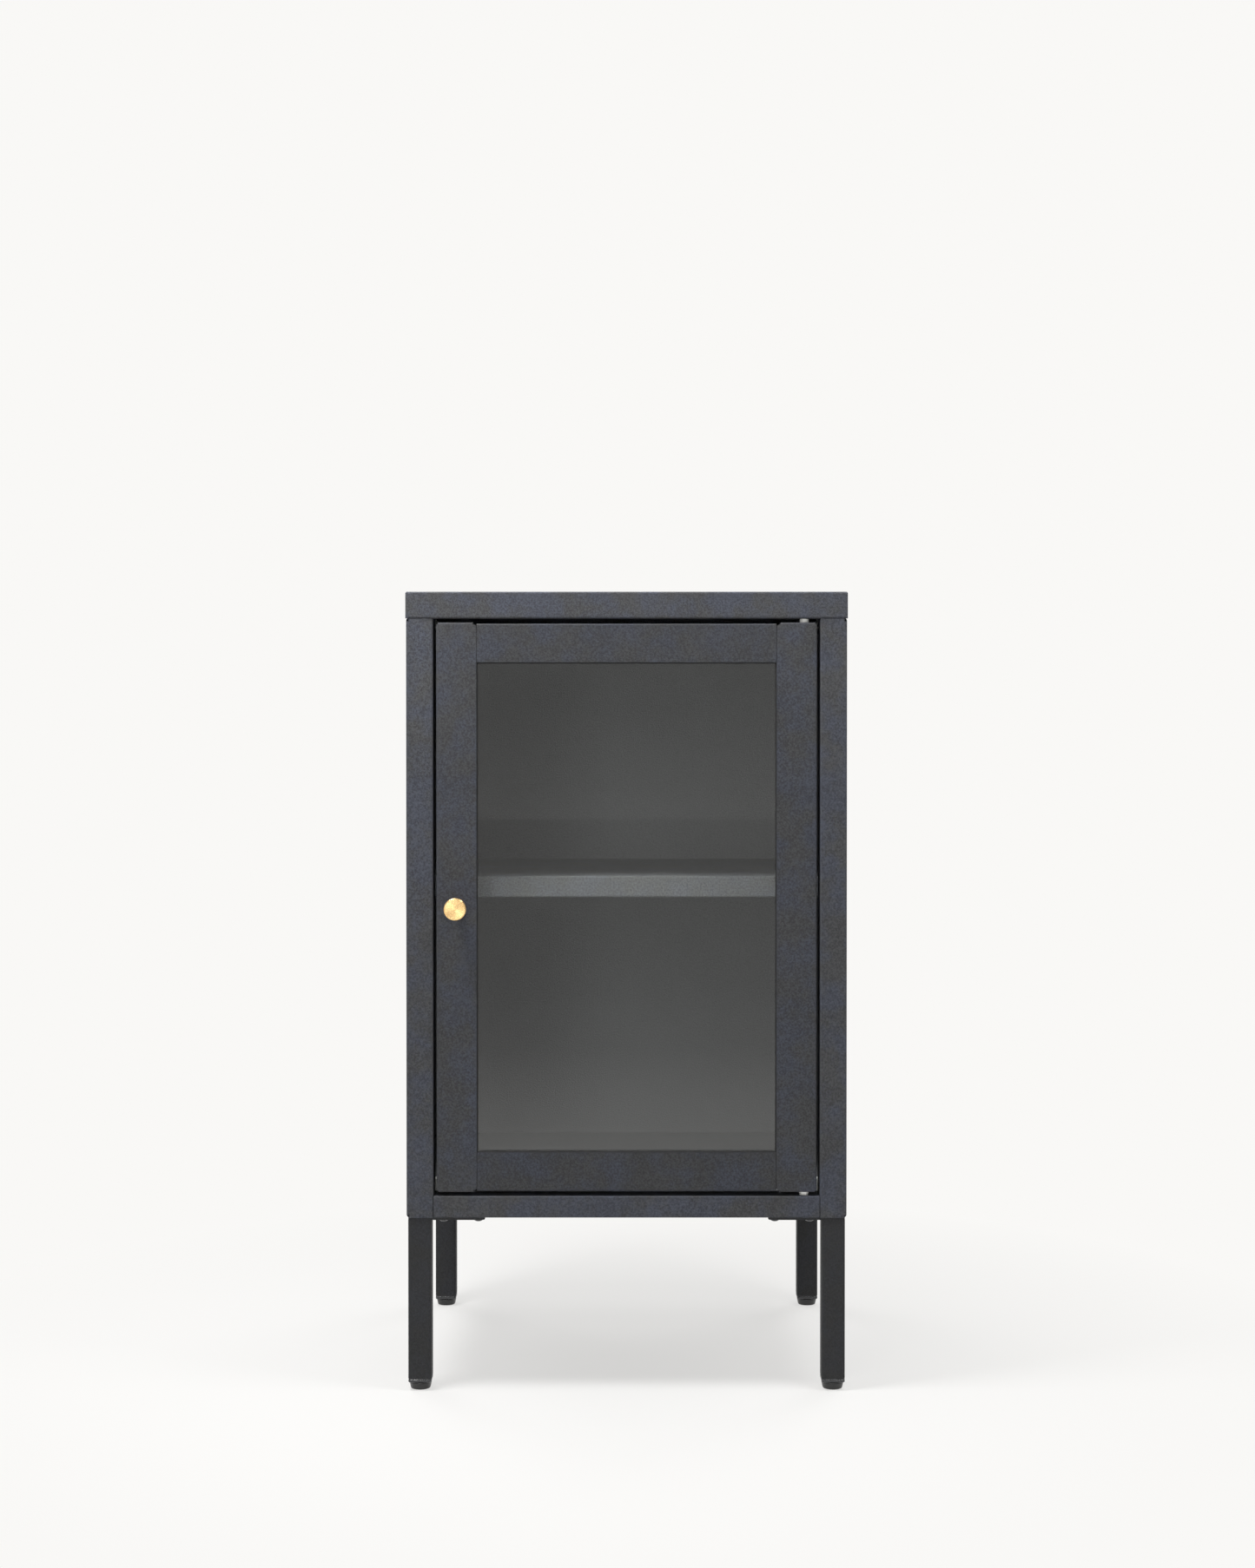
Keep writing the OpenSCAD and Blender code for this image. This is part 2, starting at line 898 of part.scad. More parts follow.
module rear_glazing_tape() {
    color(black)
        ring(tape_y, tape_t, glass_lap - glazing_edge, retainer_show);
}

// Section of a retainer, as [distance outside the opening, y]
retainer_section = [
    [retainer_show, retainer_y],
    [retainer_web, retainer_y],
    [retainer_web, face_y + sheet_t + retainer_t / 2],
    [retainer_edge, face_y + sheet_t + retainer_t / 2]
];
side_stud_zs = [open_z0 + stud_end, (open_z0 + door_mid_z) / 2, (open_z1 + door_mid_z) / 2,
    open_z1 - stud_end];
cross_stud_xs = [stud_end - open_x, 0, open_x - stud_end];

module glass_retainer_right() {
    color(coat)
        difference() {
            sheet_z([for (p = retainer_section) [open_x + p[0], p[1]]],
                open_z0 - glass_lap + glazing_edge, open_z1 + glass_lap - glazing_edge, retainer_t);
            for (z = side_stud_zs)
                wall_hole(stud_x, face_y + sheet_t, z, retainer_stud_r + bolt_fit, retainer_t);
        }
}

module glass_retainer_left() {
    color(coat)
        difference() {
            mirror([1, 0, 0])
                glass_retainer_right();
            wall_hole(knob_x, face_y + sheet_t, knob_z, knob_fastener[0] + bolt_fit, retainer_t);
        }
}

module glass_retainer_bottom() {
    x1 = open_x + glazing_edge;
    color(coat)
        difference() {
            sheet_x([for (p = retainer_section) [p[1], open_z0 - p[0]]], -x1, x1, retainer_t);
            for (x = cross_stud_xs)
                wall_hole(x, face_y + sheet_t, stud_z0, retainer_stud_r + bolt_fit, retainer_t);
        }
}

module glass_retainer_top() {
    flip_z(door_mid_z, 1)
        glass_retainer_bottom();
}

// One of a piece of retainer hardware at each weld stud, drawn along +Z from the stud's foot
module at_retainer_studs() {
    for (x = [-stud_x, stud_x], z = side_stud_zs)
        translate([x, face_y + sheet_t, z])
            rotate([-90, 0, 0])
                children();
    for (x = cross_stud_xs, z = [stud_z0, stud_z1])
        translate([x, face_y + sheet_t, z])
            rotate([-90, 0, 0])
                children();
}

module retainer_studs() {
    color(zinc)
        at_retainer_studs()
            cylinder(r = retainer_stud_r, h = retainer_stud_l);
}

module retainer_nuts() {
    color(zinc)
        at_retainer_studs()
            translate([0, 0, retainer_t])
                nut(retainer_nut);
}

module knob() {
    r = knob_d / 2;
    head = knob_out - knob_head_t;
    color(brass)
        translate([knob_x, face_y, knob_z])
            rotate([90, 0, 0])
                difference() {
                    rotate_extrude() {
                        square([knob_foot_r, knob_foot_t]);
                        square([knob_neck_r, head + knob_round]);
                        difference() {
                            translate([0, head - knob_round])
                                square([knob_neck_r + 2 * knob_round, 2 * knob_round]);
                            translate([knob_neck_r + 2 * knob_round, head - knob_round])
                                circle(2 * knob_round);
                        }
                        translate([0, head + knob_round])
                            square([r, knob_head_t - 2 * knob_round]);
                        translate([0, head])
                            square([r - knob_round, knob_head_t]);
                        for (h = [head + knob_round, knob_out - knob_round])
                            translate([r - knob_round, h])
                                circle(knob_round);
                    }
                    translate([0, 0, -cut])
                        cylinder(r = knob_fastener[0] + run_fit, h = knob_bore_l + cut);
                }
}

module knob_washer() {
    color(zinc)
        translate([knob_x, face_y + sheet_t + retainer_t, knob_z])
            rotate([-90, 0, 0])
                difference() {
                    cylinder(r = washer_r, h = washer_t);
                    translate([0, 0, -cut])
                        cylinder(r = knob_fastener[0] + bolt_fit, h = washer_t + 2 * cut);
                }
}

module knob_screw() {
    color(zinc)
        translate([knob_x, face_y + sheet_t + retainer_t + washer_t, knob_z])
            rotate([90, 0, 0])
                screw(knob_fastener);
}

module upper_pivot_pin() {
    color(nylon)
        translate([pivot_x, pivot_y, 0]) {
            translate([0, 0, door_z1])
                cylinder(r = pivot_collar_r, h = door_gap_top - bush_rise);
            translate([0, 0, door_z1 - pivot_tail])
                cylinder(r = pivot_r, h = 2 * pivot_tail + door_gap_top);
        }
}

// The collar narrows downwards in a round dome to its shoulder on the bush
module lower_pivot_pin() {
    drop = door_gap_bottom - bush_rise - pivot_gap;
    ball = pivot_collar_r + 0.4;
    color(nylon)
        translate([pivot_x, pivot_y, door_z0]) {
            rotate_extrude()
                intersection() {
                    circle(ball);
                    translate([0, -drop])
                        square([ball, drop]);
                }
            translate([0, 0, -door_gap_bottom - pivot_tail])
                cylinder(r = pivot_r, h = door_gap_bottom + 2 * pivot_tail);
        }
}

module upper_pivot_bush() {
    color(nylon)
        translate([pivot_x, pivot_y, lid_z])
            difference() {
                union() {
                    cylinder(r = bush_r, h = sheet_t + bush_flange_t);
                    translate([0, 0, sheet_t])
                        cylinder(r = bush_flange_r, h = bush_flange_t);
                }
                translate([0, 0, -cut])
                    cylinder(r = pivot_r + run_fit, h = sheet_t + bush_flange_t + 2 * cut);
            }
}

module lower_pivot_bush() {
    depth = sheet_t + bush_flange_t;
    color(nylon)
        translate([pivot_x, pivot_y, floor_z - depth])
            difference() {
                union() {
                    cylinder(r = bush_r, h = depth + bush_rise);
                    cylinder(r = bush_flange_r, h = bush_flange_t);
                }
                translate([0, 0, -cut])
                    cylinder(r = pivot_r + run_fit, h = depth + bush_rise + 2 * cut);
            }
}

module door_buffers() {
    color(nylon)
        both_sides()
            translate([buffer_x0, buffer_y0, floor_z]) {
                linear_extrude(buffer_h)
                    rounded(0, 0, buffer_w, buffer_d, 1);
                translate([buffer_w / 2, buffer_d / 2, -sheet_t - buffer_barb_l]) {
                    cylinder(r = buffer_r, h = sheet_t + buffer_barb_l);
                    cylinder(r = buffer_barb_r, h = buffer_barb_l);
                }
            }
}

// The catch's pieces are drawn from the middle of its front lower edge
module at_catch() {
    translate([catch_x, catch_y0, floor_z])
        children();
}

module catch_body() {
    pocket_h = catch_h - 2 * catch_wall;
    color(black)
        at_catch()
            difference() {
                union() {
                    linear_extrude(catch_h)
                        rounded(-catch_w / 2, 0, catch_w / 2, catch_d, catch_r);
                    linear_extrude(catch_ear_t)
                        rounded(-catch_w / 2 - catch_ear, 0, catch_w / 2 + catch_ear, catch_d, catch_r);
                }
                translate([-pole_w / 2 - pole_fit, -cut, catch_wall])
                    cube([pole_w + 2 * pole_fit, pole_d + pole_fit + cut, pocket_h]);
                for (side = [-1, 1])
                    translate([side * (catch_w + catch_ear) / 2, catch_d / 2, -cut])
                        cylinder(r = catch_screw[0] + bolt_fit, h = catch_ear_t + 2 * cut);
            }
}

module catch_plates() {
    pocket_h = catch_h - 2 * catch_wall;
    color(zinc)
        at_catch()
            for (z = [catch_wall, catch_wall + pocket_h - pole_t])
                translate([-pole_w / 2, 0, z])
                    cube([pole_w, pole_d, pole_t]);
}

module catch_magnet() {
    color(black)
        at_catch()
            translate([-pole_w / 2, 2 * pole_fit, catch_wall + pole_t])
                cube([pole_w, pole_d - 2 * pole_fit, catch_h - 2 * catch_wall - 2 * pole_t]);
}

module catch_screws() {
    color(zinc)
        at_catch()
            for (side = [-1, 1])
                translate([side * (catch_w + catch_ear) / 2, catch_d / 2, catch_ear_t])
                    mirror([0, 0, 1])
                        screw(catch_screw);
}

module catch_strike() {
    color(zinc)
        difference() {
            translate([catch_x - strike_w / 2, strike_y, strike_z - strike_h / 2])
                cube([strike_w, strike_t, strike_h]);
            for (side = [-1, 1])
                wall_hole(catch_x + side * strike_w / 3, strike_y, strike_z, rivet_r + run_fit, strike_t);
        }
}

module strike_rivets() {
    color(zinc)
        for (side = [-1, 1])
            translate([catch_x + side * strike_w / 3, strike_y - sheet_t, strike_z])
                rotate([-90, 0, 0]) {
                    cylinder(r = rivet_r, h = sheet_t + strike_t);
                    translate([0, 0, -rivet_head_t])
                        cylinder(r = rivet_head_r, h = rivet_head_t);
                }
}

top_panel();
left_side_panel();
right_side_panel();
bottom_panel();
back_panel();
top_screws();
top_clinch_nuts();
back_screws();
shelf();
shelf_clips();
clip_studs();
clip_nuts();
leg_front_left();
leg_front_right();
leg_rear_left();
leg_rear_right();
leg_bolts();
leg_clinch_nuts();
leg_plugs();
foot_pad_front_left();
foot_pad_front_right();
foot_pad_rear_left();
foot_pad_rear_right();
foot_stud_front_left();
foot_stud_front_right();
foot_stud_rear_left();
foot_stud_rear_right();
door_stile_left();
door_stile_right();
door_top_rail();
door_bottom_rail();
door_glass();
glazing_gasket();
rear_glazing_tape();
glass_retainer_left();
glass_retainer_right();
glass_retainer_top();
glass_retainer_bottom();
retainer_studs();
retainer_nuts();
knob();
knob_washer();
knob_screw();
upper_pivot_pin();
lower_pivot_pin();
upper_pivot_bush();
lower_pivot_bush();
door_buffers();
catch_body();
catch_magnet();
catch_plates();
catch_screws();
catch_strike();
strike_rivets();
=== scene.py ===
"""A small display cabinet of folded, powder-coated sheet steel, with one glazed door on pivots,
a brass knob, a lift-out shelf and four square legs on levelling feet."""

import math

import bpy
import numpy as np
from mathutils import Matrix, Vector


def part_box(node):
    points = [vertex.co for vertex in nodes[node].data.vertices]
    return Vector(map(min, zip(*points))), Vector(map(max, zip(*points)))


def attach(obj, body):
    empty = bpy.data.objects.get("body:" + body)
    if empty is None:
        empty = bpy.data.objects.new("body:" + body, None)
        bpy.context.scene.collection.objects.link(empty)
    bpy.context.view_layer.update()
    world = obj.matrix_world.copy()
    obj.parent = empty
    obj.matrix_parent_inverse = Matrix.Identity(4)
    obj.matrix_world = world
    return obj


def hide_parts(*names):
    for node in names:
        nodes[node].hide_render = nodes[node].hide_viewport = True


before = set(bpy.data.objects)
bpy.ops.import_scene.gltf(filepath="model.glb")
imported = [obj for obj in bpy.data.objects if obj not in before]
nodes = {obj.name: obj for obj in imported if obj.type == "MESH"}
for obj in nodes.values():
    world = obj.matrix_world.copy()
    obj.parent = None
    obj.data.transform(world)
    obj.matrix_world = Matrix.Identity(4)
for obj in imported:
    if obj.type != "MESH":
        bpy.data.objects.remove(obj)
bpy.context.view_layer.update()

# ------------------------------------------------------------------ case panels
# Top, two sides and bottom, each folded from one blank of cold-rolled sheet steel, and a flat
# back, screwed together. The fine-texture anthracite powder coat is stoved after folding. Its
# grey drifts between bluish and neutral. In the cupboard its grey is painted lighter than
# outside, as painted light.


class Flow:
    """One socket of a material's nodes. Sums, differences and products of it are Math nodes, and
    add() puts in any other node and gives back one of its outputs."""

    def __init__(self, tree, socket=None):
        self.tree = tree
        self.socket = socket

    def add(self, kind, settings=None, feeds=None, out=0):
        node = self.tree.nodes.new(kind)
        for name, value in (settings or {}).items():
            setattr(node, name, value)
        for name, value in (feeds or {}).items():
            if isinstance(value, Flow):
                self.tree.links.new(value.socket, node.inputs[name])
            else:
                node.inputs[name].default_value = value
        return Flow(self.tree, node.outputs[out] if node.outputs else None)

    def maths(self, operation, first, second=0.0, clamp=False):
        settings = {"operation": operation, "use_clamp": clamp}
        return self.add("ShaderNodeMath", settings, {0: first, 1: second})

    def __add__(self, other):
        return self.maths("ADD", self, other)

    def __radd__(self, other):
        return self.maths("ADD", other, self)

    def __sub__(self, other):
        return self.maths("SUBTRACT", self, other)

    def __rsub__(self, other):
        return self.maths("SUBTRACT", other, self)

    def __mul__(self, other):
        return self.maths("MULTIPLY", self, other)

    def __rmul__(self, other):
        return self.maths("MULTIPLY", other, self)

    def clamped(self):
        """This, held between 0 and 1."""
        return self.maths("ADD", self, 0.0, clamp=True)

    def part(self, axis):
        """One coordinate of a place."""
        return self.add("ShaderNodeSeparateXYZ", {}, {0: self}, axis)

    def grain(self, size, detail=2.0, roughness=0.5):
        """Noise from 0 to 1 with lumps of about size metres."""
        feeds = {"Vector": self, "Scale": 1.0 / size, "Detail": detail, "Roughness": roughness}
        return self.add("ShaderNodeTexNoise", {}, feeds)

    def blend(self, first, second):
        """The colour that runs from first to second as this runs from 0 to 1."""
        settings = {"data_type": "RGBA", "clamp_factor": True}
        return self.add("ShaderNodeMix", settings, {0: self, 6: first, 7: second}, 2)

    def bump(self, depth):
        """A normal bent by this as a height, where 1 is depth metres."""
        return self.add("ShaderNodeBump", {}, {"Height": self, "Distance": depth})


def new_finish(name):
    """A new material, and the Flow of its object coordinates."""
    finish = bpy.data.materials.new(name)
    finish.use_nodes = True
    finish.node_tree.nodes.clear()
    return finish, Flow(finish.node_tree).add("ShaderNodeTexCoord", out="Object")


def surfaced(place, **feeds):
    """Ends a material in one Principled shader. Underscores in the names stand for spaces."""
    plain = {name.replace("_", " "): value for name, value in feeds.items()}
    shader = place.add("ShaderNodeBsdfPrincipled", {}, plain)
    place.add("ShaderNodeOutputMaterial", {}, {"Surface": shader})


def grey(level, blue):
    """A grey of that level, whose blue is that many times its red. Its green goes up by 0.22 of
    what its blue does."""
    return (level, level * (1 + 0.22 * (blue - 1)), level * blue, 1.0)


# Lump sizes in the coat and the width of a groove in it, in metres
patch_size, speck_size, drift_size, pinhead_size = 0.024, 0.0015, 0.05, 0.0006
groove_width = 0.0006
# How many times further from its middle each noise is spread
patch_contrast, speck_contrast, drift_contrast = 4.5, 3.2, 0.6
# The cupboard's inside, in metres, from behind the door to the lid's lower edge. The other
# limits run within the thickness of the sheets.
cupboard_half, cupboard_front, cupboard_back = 0.1892, -0.127, 0.1686
cupboard_floor, cupboard_ceiling = 0.1678, 0.6654
# A limit goes from 0 to 1 within 0.2 mm where it is hard, and within 2 mm where it is soft
hard_limit, soft_limit = 5000.0, 500.0


def powder_coat(name, level, blue, speckle, seam=None, inside=None):
    """Powder coat: patches 10 to 30 mm across of bluer and plainer grey, specks 1.5 mm across of
    lighter and darker by the share speckle, and a pinhead texture of 0.6 mm. Where the distance
    seam from the middle is given, a hairline groove runs up beside it on both sides, bumped in
    and painted dark as painted shade. Where inside is given, the faces in the cupboard, behind
    the door, have that lighter level instead, as painted light."""
    finish, place = new_finish(name)
    patches = patch_contrast * place.grain(patch_size, 3.0, 0.6) - (patch_contrast / 2 - 0.5)
    patches = patches.clamped()
    specks = place.grain(speck_size, 2.0, 0.6)
    depth = 0.5 + speck_contrast * (specks - 0.5)
    depth = (depth + drift_contrast * (place.grain(drift_size) - 0.5)).clamped()
    height = place.grain(pinhead_size) + 1.5 * specks
    across = place.maths("ABSOLUTE", place.part("X"))
    # Painted shade in the seam's groove: here the speckle goes to its darker tone, and below its
    # colour goes to a quarter of the level. Only the bump is real.
    if seam is not None:
        groove = (1.0 - (seam - across) * (1 / groove_width)).clamped()
        depth = (depth - 1.2 * groove).clamped()
        height = height - 3.0 * groove
    tones = [
        patches.blend(grey(level * tone, 1 + 0.2 * (blue - 1)), grey(level * tone, blue * 1.06))
        for tone in (1 - speckle, 1 + speckle)
    ]
    colour = depth.blend(*tones)
    # Painted shade: the groove's colour is taken down to a quarter of the level
    if seam is not None:
        colour = groove.blend(colour, grey(level * 0.25, 1.0))
    # Painted light: the cupboard's faces get a lighter, less blue grey than the outside
    if inside is not None:
        up, back = place.part("Z"), place.part("Y")
        painted_light_indoors = (hard_limit * (cupboard_half - across)).clamped()
        painted_light_indoors = painted_light_indoors * (soft_limit * (back - cupboard_front)).clamped()
        painted_light_indoors = painted_light_indoors * (hard_limit * (up - cupboard_floor)).clamped()
        painted_light_indoors = painted_light_indoors * (hard_limit * (cupboard_ceiling - up)).clamped()
        painted_light_indoors = painted_light_indoors * (hard_limit * (cupboard_back - back)).clamped()
        colour = painted_light_indoors.blend(
            colour, depth.blend(*(grey(inside * tone, 1.04) for tone in (0.84, 1.16)))
        )
    surfaced(
        place,
        Base_Color=colour,
        Roughness=0.62 + 0.16 * depth,
        Specular_IOR_Level=0.25,
        Normal=height.bump(0.00016),
    )
    return finish


def wear(finish, *names):
    """Puts a finish on CAD nodes."""
    for name in names:
        for slot in nodes[name].material_slots:
            slot.material = finish


outer = {"blue": 1.32, "speckle": 0.36}
# Painted light: the case is 0.0445 outside and painted lighter, 0.138, in the cupboard
case_coat = powder_coat("powder_coat_case", level=0.0445, inside=0.138, **outer)
wear(
    case_coat, "top_panel", "left_side_panel", "right_side_panel", "bottom_panel", "back_panel"
)

# ------------------------------------------------------------------ case screws and nuts
# Dome-head socket screws of zinc-plated steel hold the top panel down and the back panel on.
# Those of the top come up from below, into hexagon clinch nuts on its folded-in flange.


def solids(node):
    """The lowest and highest corners of each separate solid of a CAD node. Triangles that share
    a corner are one solid: each point takes the lowest label in its triangles until none
    changes."""
    mesh = nodes[node].data
    place = np.empty(3 * len(mesh.vertices))
    mesh.vertices.foreach_get("co", place)
    place = place.reshape(-1, 3)
    corner = np.empty(len(mesh.loops), int)
    mesh.loops.foreach_get("vertex_index", corner)
    which = np.unique(np.round(place * 1e6), axis=0, return_inverse=True)[1].reshape(-1)
    triangles = which[corner].reshape(-1, 3)
    lower = np.arange(which.max() + 1)
    changed = True
    while changed:
        label = lower
        lower = label.copy()
        np.minimum.at(lower, triangles.ravel(), np.repeat(label[triangles].min(axis=1), 3))
        changed = (lower != label).any()
    mine = label[which]
    return [(place[mine == m].min(axis=0), place[mine == m].max(axis=0)) for m in np.unique(mine)]


def turned(radius, height, steps=36):
    """Rings of a shape turned about +Z, in millimetres: radius and height of each ring, which
    may also be rows of values round the turn."""
    shape = (len(height), steps)
    radius = np.broadcast_to(np.reshape(radius, (shape[0], -1)), shape)
    height = np.broadcast_to(np.reshape(height, (shape[0], -1)), shape)
    turn = np.arange(steps) * 2 * math.pi / steps
    return np.stack([radius * np.cos(turn), radius * np.sin(turn), height], axis=-1)


def placed(rings, origin, along):
    """Rings in millimetres as places in metres, with their +Z along one of the six axes."""
    along = np.array(along, float)
    across = np.array([0.0, 0.0, 1.0]) if along[0] else np.array([1.0, 0.0, 0.0])
    turn = np.array([across, np.cross(along, across), along])
    return rings @ turn / 1000 + np.asarray(origin)


def skin(rings, capped=True):
    """Points and faces of the surface through closed rings, an array of rings x points x 3.
    Capped, the first and last rings close on their middles. Otherwise the last joins the first.
    The faces turn round where the volume that they shut in comes out negative."""
    count, around = rings.shape[:2]
    points = rings.reshape(-1, 3)
    here = np.arange(count * around).reshape(count, around)
    if not capped:
        here = np.vstack([here, here[:1]])
    side = np.roll(here, -1, axis=1)
    quads = np.stack([here[:-1], side[:-1], side[1:], here[1:]], axis=-1).reshape(-1, 4)
    ends = []
    if capped:
        points = np.vstack([points, rings[0].mean(axis=0), rings[-1].mean(axis=0)])
        first = np.full(around, len(points) - 2)
        last = np.full(around, len(points) - 1)
        ends = [np.stack([first, side[0], here[0]], -1), np.stack([last, here[-1], side[-1]], -1)]
    corners = points[np.vstack([quads[:, [0, 1, 2]], quads[:, [0, 2, 3]]] + ends)]
    a, b, c = corners.transpose(1, 0, 2) - points.mean(axis=0)
    groups = [quads] + ends
    if np.einsum("ij,ij->", a, np.cross(b, c)) < 0:
        groups = [group[:, ::-1] for group in groups]
    return points, groups


def piece(name, skins, finish, slot, body, *stands_for, sharp=32.0):
    """One object of several skins, smooth but for edges sharper than sharp degrees. It rides on
    a body and stands for CAD nodes."""
    starts = np.cumsum([0] + [len(points) for points, groups in skins])
    faces = []
    for start, (points, groups) in zip(starts, skins):
        for group in groups:
            faces += (group + start).tolist()
    mesh = bpy.data.meshes.new(name)
    mesh.from_pydata(np.vstack([points for points, groups in skins]).tolist(), [], faces)
    mesh.shade_smooth()
    mesh.set_sharp_from_angle(angle=math.radians(sharp))
    mesh.materials.append(finish)
    made = bpy.data.objects.new(name, mesh)
    bpy.context.collection.objects.link(made)
    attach(made, body)
    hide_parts(*stands_for)


def hexagon(flats, steps):
    """Radius round a hexagon that is flats across, with a corner at angle 0."""
    return flats / 2 / np.cos((np.arange(steps) * 6 / steps % 1 - 0.5) * math.pi / 3)


def thread(radius, start, end, pitch, steps=36):
    """Radius and height rows of a thread, four to a pitch: the radius falls by about half a
    pitch as a triangle wave of height over pitch less the turn, and as a cone at both ends."""
    groove = 0.55 * pitch
    rows = max(4, round(abs(end - start) / pitch * 4))
    height = np.linspace(start, end, rows)[:, None] * np.ones(steps)
    wave = np.abs((height / pitch - np.arange(steps) / steps) % 1 - 0.5) * 2
    cone = np.minimum(np.abs(height - start), np.abs(height - end)) * 1.2
    return radius - groove * np.maximum(wave, 1 - cone / pitch).clip(0, 1), height


def screw(shank, length, head, rise, key, pitch, steps=36):
    """Rings of a dome-head socket screw along +Z, its head from -rise to 0. The dome is a cap of
    a ball on a low rim, and its hexagon socket has a chamfered mouth."""
    rim = rise / 4
    ball = (head**2 + (rise - rim) ** 2) / (2 * (rise - rim))
    flat = np.ones(steps)
    socket = hexagon(key, steps)
    mouth = np.minimum(socket * 1.1, head * 0.85)
    slope = mouth + (head - mouth) * np.array([0.0, 0.3, 0.6, 0.85, 1.0])[:, None]
    dome = ball - rise - np.sqrt(ball**2 - slope**2)
    twist, z = thread(shank, 0.0, length, pitch, steps)
    # The socket's floor and its chamfer's foot, the dome, the rim's foot, the seat, the thread
    radius = [socket * 0.97, socket, slope, flat * head, flat * head * 0.96, twist]
    height = [flat * rise * -0.45, dome[0] + rise * 0.06, dome, flat * -0.12, flat * 0, z]
    return turned(np.vstack(radius), np.vstack(height), steps)


def nut(bore, flats, height, pitch, steps=36):
    """Rings of a hexagon nut from z = 0 up: a 30 degree chamfer takes its corners down to a
    circle at both faces, and its bore is threaded. The last ring joins the first."""
    flat = np.ones(steps)
    corner = hexagon(flats, steps)
    circle = np.minimum(corner, flats * 0.49)
    cut = (corner - circle) * math.tan(math.radians(30))
    mouth = flat * bore * 1.12
    twist, z = thread(bore + 0.5 * pitch, height, 0.0, pitch, steps)
    radius = [mouth, circle, corner, corner, circle, mouth, twist]
    rise = [flat * 0, flat * 0, cut, height - cut, flat * height, flat * height, z]
    return turned(np.vstack(radius), np.vstack(rise), steps)


def at_solids(rings, node, along, capped=True):
    """A skin of the rings in the middle of each solid of a CAD node, with the rings' highest z
    at the end of the solid that along goes to."""
    along = np.array(along)
    skins = []
    for low, high in solids(node):
        origin = np.where(along == 0, (low + high) / 2, np.where(along > 0, high, low))
        origin = origin - along * rings[..., 2].max() / 1000
        skins.append(skin(placed(rings, origin, along), capped))
    return skins


def plated(name, darker, lighter, metallic, rough):
    """Plated steel: its shade and gloss drift every 2 mm, with fine dents from tumbling."""
    finish, place = new_finish(name)
    drift = (0.5 + 2.2 * (place.grain(0.0022, 3.0) - 0.5)).clamped()
    surfaced(
        place,
        Base_Color=drift.blend((*darker, 1.0), (*lighter, 1.0)),
        Metallic=metallic,
        Roughness=rough + 0.12 * drift,
        Normal=place.grain(0.0004).bump(0.00001),
    )
    return finish


zinc = plated("zinc_plate", (0.50, 0.51, 0.53), (0.66, 0.66, 0.65), metallic=1.0, rough=0.24)
lid_screw = screw(shank=2.0, length=8.0, head=3.8, rise=2.2, key=2.5, pitch=0.7)
piece("lid_screws", at_solids(lid_screw, "top_screws", (0, 0, 1)), zinc, "zinc_plated", "carcass",
      "top_screws")
lid_nut = nut(bore=2.05, flats=8.0, height=3.0, pitch=0.7)
piece("lid_nuts", at_solids(lid_nut, "top_clinch_nuts", (0, 0, 1), False), zinc, "zinc_plated",
      "carcass", "top_clinch_nuts")
sheet_screw = screw(shank=1.6, length=8.0, head=3.2, rise=1.8, key=2.0, pitch=0.5)
piece("rear_screws", at_solids(sheet_screw, "back_screws", (0, -1, 0)), zinc, "zinc_plated",
      "carcass", "back_screws")

# ------------------------------------------------------------------ shelf and its clips
# A shallow tray of coated sheet steel lies on four zinc-plated angle clips. Each clip is clamped
# to a weld stud of the side panel by a hexagon nut.


def rod(radius, length, pitch):
    """Rings of a threaded rod from z = 0 up, with both ends tapered."""
    return turned(*thread(radius, 0.0, length, pitch))


# Painted light: the shelf and the glass's retainers wear a lighter copy of the coat, as the
# cupboard does
lightened_inner_coat = powder_coat("powder_coat_inside", level=0.13, blue=1.08, speckle=0.34)
wear(lightened_inner_coat, "shelf")
wear(zinc, "shelf_clips")
clip_rod = rod(radius=2.0, length=8.0, pitch=0.7)
piece("clip_rods", at_solids(clip_rod, "clip_studs", (1, 0, 0)), zinc, "zinc_plated",
      "carcass", "clip_studs")
clip_nut = nut(bore=2.05, flats=7.0, height=3.2, pitch=0.7)
piece("clip_hexagons", at_solids(clip_nut, "clip_nuts", (1, 0, 0), False), zinc,
      "zinc_plated", "carcass", "clip_nuts")

# ------------------------------------------------------------------ legs and their bolts
# Square steel tube with a corner plate welded on top, in a blacker coat than the case. Four
# black dome-head bolts pull each plate up against nuts inside the bottom panel.
leg_coat = powder_coat("powder_coat_legs", level=0.020, blue=1.12, speckle=0.3)
legs = ("front_left", "front_right", "rear_left", "rear_right")
wear(leg_coat, *("leg_" + leg for leg in legs))
black_zinc = plated(
    "black_zinc", (0.014, 0.014, 0.016), (0.03, 0.03, 0.034), metallic=0.5, rough=0.2
)
leg_bolt = screw(shank=3.0, length=12.0, head=4.9, rise=3.4, key=4.0, pitch=1.0, steps=48)
piece("plate_bolts", at_solids(leg_bolt, "leg_bolts", (0, 0, 1)), black_zinc, "zinc_plated",
      "carcass", "leg_bolts")
leg_nut = nut(bore=3.05, flats=10.0, height=6.0, pitch=1.0)
piece("plate_nuts", at_solids(leg_nut, "leg_clinch_nuts", (0, 0, 1), False),
      zinc, "zinc_plated", "carcass", "leg_clinch_nuts")

# ------------------------------------------------------------------ leg plugs
# Moulded black polyamide: a square flange as wide as the tube, with a bevelled lower edge, and a
# body pressed into the tube, whose ribs grip it. The foot's stud turns in its bore.


